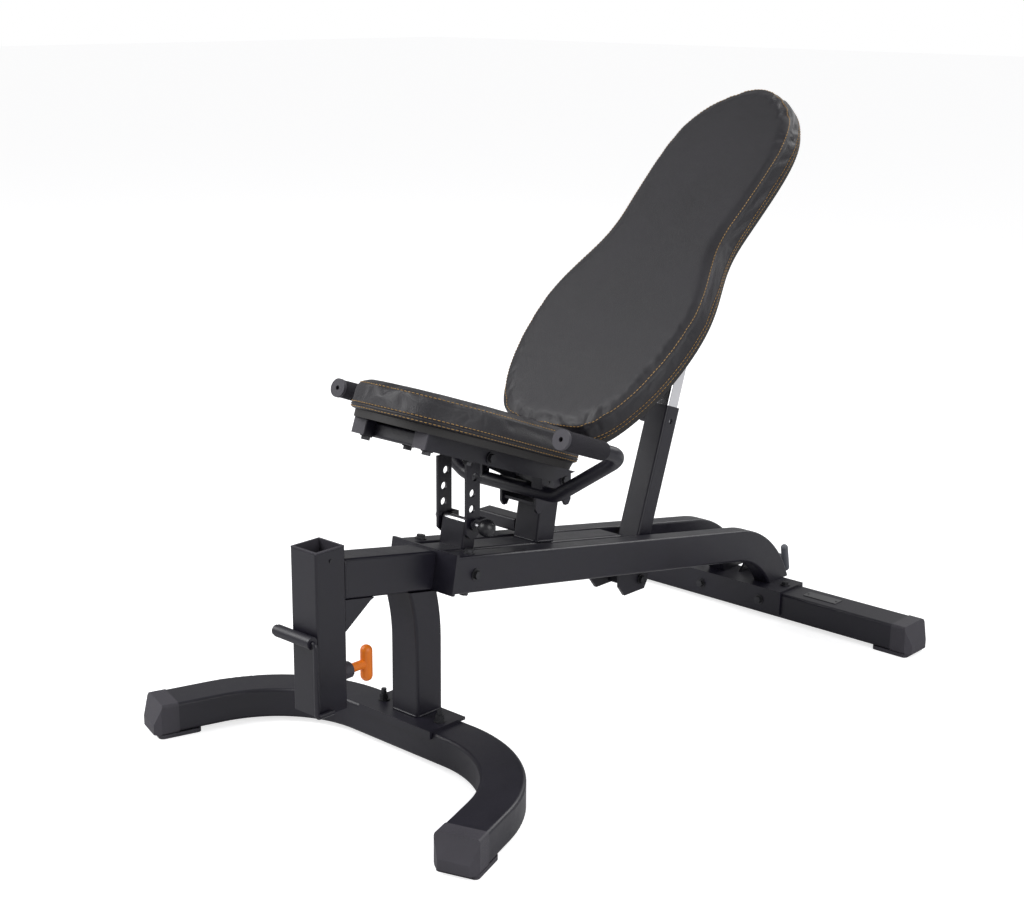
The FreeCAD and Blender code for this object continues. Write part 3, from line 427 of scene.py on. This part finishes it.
def add_stitches(verts, faces, line, sizes):
    """A row of separate stitches that dip into the cover at each end."""
    spans = [(b[0] - a[0]).length for a, b in zip(line, line[1:] + line[:1])]
    total = sum(spans)
    pitch = sizes.stitch + sizes.stitch_gap
    count = int(total / pitch)
    loop = line + line[:1]

    def at(distance):
        place = bisect_span(starts, distance)
        passed = starts[place]
        share = (distance - passed) / max(spans[place], 1e-9)
        a, b = loop[place], loop[place + 1]
        return a[0].lerp(b[0], share), a[1].lerp(b[1], share).normalized()

    starts = [0.0]
    for span in spans:
        starts.append(starts[-1] + span)
    for number in range(count):
        begin = total * number / count
        stations = []
        for share, lift in ((0.0, -0.6), (0.2, 0.5), (0.5, 0.9), (0.8, 0.5), (1.0, -0.6)):
            spot, normal = at(min(begin + sizes.stitch * share, total * 0.99999))
            stations.append((spot + normal * (sizes.thread * lift), normal))
        widths = [sizes.thread * w for w in (0.5, 0.95, 1.0, 0.95, 0.5)]
        add_tube(verts, faces, stations, widths, 6, False)


def bisect_span(starts, distance):
    """The last start that is not past the distance."""
    low, high = 0, len(starts) - 2
    while low < high:
        middle = (low + high + 1) // 2
        if starts[middle] <= distance:
            low = middle
        else:
            high = middle - 1
    return low


def lay_in_place(piece, pad, body, material):
    piece.data.transform(pad.matrix())
    piece.data.materials.clear()
    piece.data.materials.append(FINISHES[material])
    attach(piece, body)


def sewn_pad(node, tilt, body, seams, welts, rows):
    """One pad with its cover, piping and thread, in place of its plain solid."""
    sizes = bpy.context.scene.bench_sizes
    pad = PadFrame(node, tilt)
    cover = pad_blank(node + "_cover", pad, sizes)
    inflate(cover, pad, sizes)
    sew_grooves(cover, pad, sizes, seams + welts)
    surface = surface_of(cover)
    verts, faces = [], []
    for share in rows:
        add_stitches(verts, faces, line_on_side(surface, pad, share), sizes)
    thread = mesh_object(node + "_thread", verts, faces)
    verts, faces = [], []
    for share in welts:
        line = line_on_side(surface, pad, share)
        add_tube(verts, faces, line, [sizes.piping] * len(line), 10, True)
    welt = mesh_object(node + "_piping", verts, faces)
    lay_in_place(cover, pad, body, "Vinyl")
    lay_in_place(thread, pad, body, "Thread")
    lay_in_place(welt, pad, body, "Vinyl")
    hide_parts(node)


# ---------------------------------------------------------------- operators

class BENCH_OT_finishes(bpy.types.Operator):
    """Make every finish that the bench uses"""
    bl_idname = "bench.finishes"
    bl_label = "Make Finishes"

    def execute(self, context):
        tint = context.scene.bench_colours
        leather_grain()
        coat_grain()
        finish("Powder Coat", tint.frame, (0.34, 0.46), "Coat Grain", 900.0, (0.25, 0.0004))
        finish("Vinyl", tint.vinyl, (0.40, 0.50), "Leather Grain", 480.0, (0.55, 0.0005), lift=1.35)
        finish("Thread", tint.thread, (0.55, 0.70), "Coat Grain", 2600.0, (0.8, 0.0003), lift=1.4)
        finish("Moulded Plastic", tint.moulded, (0.48, 0.60), "Leather Grain", 1300.0, (0.30, 0.0003))
        finish("Foam", tint.foam, (0.80, 0.92), "Leather Grain", 1100.0, (0.8, 0.0006), specular=0.3)
        finish("Ball Plastic", (0.008, 0.008, 0.010), (0.30, 0.38), "Coat Grain", 300.0, (0.04, 0.0002))
        finish("Pull Plastic", tint.pull, (0.36, 0.46), "Coat Grain", 900.0, (0.12, 0.0003), lift=1.12)
        finish("Grey Plastic", tint.rear_pull, (0.42, 0.52), "Coat Grain", 900.0, (0.12, 0.0003), lift=1.2)
        finish("Chrome", (0.72, 0.72, 0.74), (0.07, 0.14), "Coat Grain", 400.0, (0.02, 0.0001),
               metallic=1.0, lift=1.1)
        finish("Zinc", (0.52, 0.52, 0.54), (0.24, 0.36), "Coat Grain", 600.0, (0.10, 0.0002),
               metallic=1.0, lift=1.2)
        finish("Black Oxide", (0.030, 0.030, 0.033), (0.30, 0.42), "Coat Grain", 800.0, (0.15, 0.0002),
               metallic=0.7, lift=1.8)
        finish("Painted Board", (0.012, 0.011, 0.011), (0.60, 0.75), "Coat Grain", 240.0, (0.4, 0.0004))
        finish("Dark Plate", (0.11, 0.11, 0.115), (0.35, 0.45), "Coat Grain", 500.0, (0.08, 0.0002),
               metallic=0.8)
        return {"FINISHED"}


SLOT_FINISH = {
    "frame_paint": "Powder Coat",
    "black_plastic": "Moulded Plastic",
    "bolt_steel": "Black Oxide",
    "bright_steel": "Zinc",
    "knob_plastic": "Ball Plastic",
    "chrome": "Chrome",
    "foam_grip": "Foam",
    "pad_cover": "Vinyl",
    "board": "Painted Board",
    "orange_plastic": "Pull Plastic",
    "grey_plastic": "Grey Plastic",
    "plate_metal": "Dark Plate",
}


class BENCH_OT_metalwork(bpy.types.Operator):
    """Give every metal and plastic piece its finish"""
    bl_idname = "bench.metalwork"
    bl_label = "Finish Metalwork"

    def execute(self, context):
        for row in frame["record"]["subparts"]:
            piece = frame["nodes"][row["node"]]
            piece.data.materials.clear()
            piece.data.materials.append(FINISHES[SLOT_FINISH[row["material_slot"]]])
        return {"FINISHED"}


class BENCH_OT_seat_pad(bpy.types.Operator):
    """Sew the seat's pad"""
    bl_idname = "bench.seat_pad"
    bl_label = "Make Seat Pad"

    def execute(self, context):
        sewn_pad("seat_pad", SEAT_TILT, "seat", [], [0.16], [0.91, 0.24, 0.08])
        return {"FINISHED"}


class BENCH_OT_back_pad(bpy.types.Operator):
    """Sew the back's pad"""
    bl_idname = "bench.back_pad"
    bl_label = "Make Back Pad"

    def execute(self, context):
        sewn_pad("back_pad", BACK_TILT, "back", [0.84], [0.18], [0.91, 0.27, 0.09])
        return {"FINISHED"}


class BENCH_OT_grips(bpy.types.Operator):
    """Turn the two foam hand grips"""
    bl_idname = "bench.grips"
    bl_label = "Make Hand Grips"

    def execute(self, context):
        turn = math.radians(SEAT_TILT)
        along = Vector((0, math.cos(turn), math.sin(turn)))
        out = Vector((0, -math.sin(turn), math.cos(turn)))
        points = [v.co for v in frame["nodes"]["seat_grips"].data.vertices]
        for label, side in (("left", -1), ("right", 1)):
            mine = [p for p in points if p.x * side > 0]
            middle_x = (min(p.x for p in mine) + max(p.x for p in mine)) / 2
            radius = (max(p.x for p in mine) - min(p.x for p in mine)) / 2
            start, end = min(p.dot(along) for p in mine), max(p.dot(along) for p in mine)
            height = (min(p.dot(out) for p in mine) + max(p.dot(out) for p in mine)) / 2
            bore = min((Vector((p.x - middle_x, p.dot(out) - height))).length for p in mine)
            profile = [(start, bore), (start, radius - GRIP_EDGE)]
            for step in range(1, 5):
                bend = math.radians(22.5 * step)
                inset, dip = GRIP_EDGE * (1 - math.cos(bend)), GRIP_EDGE * (1 - math.sin(bend))
                profile.append((start + inset, radius - dip))
            for step in range(1, 24):
                share = step / 24
                swell = GRIP_SWELL * math.sin(math.pi * share)
                profile.append((start + GRIP_EDGE + (end - start - 2 * GRIP_EDGE) * share, radius + swell))
            for step in range(4, 0, -1):
                bend = math.radians(22.5 * step)
                inset, dip = GRIP_EDGE * (1 - math.cos(bend)), GRIP_EDGE * (1 - math.sin(bend))
                profile.append((end - inset, radius - dip))
            profile += [(end, radius - GRIP_EDGE), (end, bore)]
            verts, faces, sides = [], [], GRIP_SIDES
            for s, r in profile:
                for k in range(sides):
                    angle = 2 * math.pi * k / sides
                    verts.append(
                        Vector((middle_x + r * math.cos(angle), 0, 0)) + along * s
                        + out * (height + r * math.sin(angle))
                    )
            for ring in range(len(profile)):
                after = (ring + 1) % len(profile)
                for k in range(sides):
                    m = (k + 1) % sides
                    faces.append((ring * sides + k, after * sides + k, after * sides + m, ring * sides + m))
            grip = mesh_object("foam_grip_" + label, verts, faces)
            grip.data.materials.append(FINISHES["Foam"])
            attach(grip, "seat")
            if side == 1:
                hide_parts("seat_grips")
        return {"FINISHED"}


def foot_of(node, way):
    """Corners of the rectangle where a tube meets what it is welded to."""
    across = Vector((1, 0, 0))
    other = way.cross(across).normalized()
    points = [v.co for v in frame["nodes"][node].data.vertices]
    level = min(p.dot(way) for p in points)
    low = [p for p in points if p.dot(way) < level + 0.0005]
    xs, ys = [p.x for p in low], [p.dot(other) for p in low]
    corners = [(min(xs), min(ys)), (max(xs), min(ys)), (max(xs), max(ys)), (min(xs), max(ys))]
    return [across * x + other * y + way * level for x, y in corners]


class BENCH_OT_welds(bpy.types.Operator):
    """Lay the painted weld beads at the feet of the frame's tubes"""
    bl_idname = "bench.welds"
    bl_label = "Lay Weld Beads"

    def execute(self, context):
        turn = math.radians(FRAME_SLOPE)
        upright = Vector((0, math.sin(turn), math.cos(turn)))
        places = (
            ("front_post", Vector((0, 0, 1))),
            ("front_beam", Vector((0, 1, 0))),
            ("seat_post", upright),
        )
        for node, way in places:
            corners = foot_of(node, way)
            middle = sum(corners, Vector()) / 4
            loop = []
            for index, corner in enumerate(corners):
                before, after = corners[index - 1], corners[(index + 1) % 4]
                loop.append(corner + (before - corner).normalized() * WELD_CORNER)
                loop.append(corner + (after - corner).normalized() * WELD_CORNER)
            line = evenly(loop, WELD_STEP)
            path = [(spot + way * WELD_LIFT, (spot - middle).normalized()) for spot in line]
            wave = 2 * math.pi * WELD_STEP / WELD_RIPPLE
            radii = [WELD_RADIUS * (0.88 + 0.12 * math.cos(wave * i)) for i in range(len(path))]
            verts, faces = [], []
            add_tube(verts, faces, path, radii, 10, True)
            piece = mesh_object("weld_" + node, verts, faces)
            piece.data.materials.append(FINISHES["Powder Coat"])
            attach(piece, "frame")
        return {"FINISHED"}


class BENCH_OT_studio(bpy.types.Operator):
    """Set the floor, the lights and the camera"""
    bl_idname = "bench.studio"
    bl_label = "Make Studio"

    def execute(self, context):
        scene = context.scene
        studio = scene.bench_studio
        corners = [(FLOOR_REACH * x, FLOOR_REACH * y, 0) for x, y in ((-1, -1), (1, -1), (1, 1), (-1, 1))]
        floor = mesh_object("studio_floor", corners, [(0, 1, 2, 3)], smooth=False)
        floor.location.z = -0.0005
        finish("Studio Floor", studio.floor, (0.85, 0.95), "Coat Grain", 60.0, (0.02, 0.0002),
               lift=1.01, specular=0.1)
        paper = FINISHES["Studio Floor"]
        floor.data.materials.append(paper)
        shader = paper.node_tree.nodes["Principled BSDF"]
        seen = paper.node_tree.nodes.new("ShaderNodeLightPath").outputs["Is Camera Ray"]
        shader.inputs["Emission Color"].default_value = (1, 1, 1, 1)
        glow = math_node(paper.node_tree, "MULTIPLY", seen, studio.glow)
        paper.node_tree.links.new(glow, shader.inputs["Emission Strength"])
        lamps = (
            ("key_light", studio.key, 3.0, (-1.9, -2.4, 3.0)),
            ("fill_light", studio.fill, 2.5, (3.2, -0.6, 1.9)),
            ("rim_light", studio.rim, 2.5, (0.6, 3.2, 2.8)),
        )
        aim = Vector((0.0, 0.0, 0.45))
        for name, power, size, spot in lamps:
            data = bpy.data.lights.new(name, "AREA")
            data.energy = power
            data.size = size
            lamp = bpy.data.objects.new(name, data)
            lamp.location = spot
            lamp.rotation_euler = (aim - Vector(spot)).to_track_quat("-Z", "Y").to_euler()
            scene.collection.objects.link(lamp)
        world = bpy.data.worlds.new("Studio")
        world.use_nodes = True
        sky = world.node_tree
        seen = sky.nodes.new("ShaderNodeLightPath").outputs["Is Camera Ray"]
        extra = math_node(sky, "MULTIPLY", seen, 1.0 - studio.surround)
        strength = math_node(sky, "ADD", extra, studio.surround)
        sky.nodes["Background"].inputs["Color"].default_value = (1, 1, 1, 1)
        sky.links.new(strength, sky.nodes["Background"].inputs["Strength"])
        scene.world = world
        camera = bpy.data.objects.new("camera", bpy.data.cameras.new("camera"))
        camera.data.sensor_width = 36.0
        camera.data.lens = CAMERA_LENS
        camera.data.clip_end = 200.0
        turned = Matrix.Rotation(math.radians(CAMERA_TURN), 4, "Z")
        tipped = Matrix.Rotation(math.radians(CAMERA_TIP), 4, "X")
        rolled = Matrix.Rotation(math.radians(CAMERA_ROLL), 4, "Z")
        camera.matrix_world = Matrix.Translation(CAMERA_PLACE) @ turned @ tipped @ rolled
        scene.collection.objects.link(camera)
        scene.camera = camera
        scene.view_settings.view_transform = "Standard"
        return {"FINISHED"}


class BENCH_PT_panel(bpy.types.Panel):
    """Lists the bench's pieces, sizes and colours"""
    bl_idname = "BENCH_PT_panel"
    bl_label = "Weight Bench"
    bl_space_type = "VIEW_3D"
    bl_region_type = "UI"
    bl_category = "Bench"

    def draw(self, context):
        layout = self.layout
        for operator in OPERATORS:
            layout.operator(operator.bl_idname)
        for group in (context.scene.bench_colours, context.scene.bench_sizes, context.scene.bench_studio):
            box = layout.box()
            for name in group.bl_rna.properties.keys():
                if name not in {"rna_type", "name"}:
                    box.prop(group, name)


GROUPS = (BenchColours, BenchSizes, BenchStudio)
OPERATORS = (
    BENCH_OT_finishes,
    BENCH_OT_metalwork,
    BENCH_OT_seat_pad,
    BENCH_OT_back_pad,
    BENCH_OT_grips,
    BENCH_OT_welds,
    BENCH_OT_studio,
)


def register():
    for cls in GROUPS + OPERATORS + (BENCH_PT_panel,):
        bpy.utils.register_class(cls)
    bpy.types.Scene.bench_colours = PointerProperty(type=BenchColours)
    bpy.types.Scene.bench_sizes = PointerProperty(type=BenchSizes)
    bpy.types.Scene.bench_studio = PointerProperty(type=BenchStudio)


def unregister():
    del bpy.types.Scene.bench_studio
    del bpy.types.Scene.bench_sizes
    del bpy.types.Scene.bench_colours
    for cls in reversed(GROUPS + OPERATORS + (BENCH_PT_panel,)):
        bpy.utils.unregister_class(cls)


def main():
    register()
    bpy.ops.bench.finishes()
    bpy.ops.bench.metalwork()
    bpy.ops.bench.seat_pad()
    bpy.ops.bench.back_pad()
    bpy.ops.bench.grips()
    bpy.ops.bench.welds()
    bpy.ops.bench.studio()


if __name__ == "__main__":
    main()
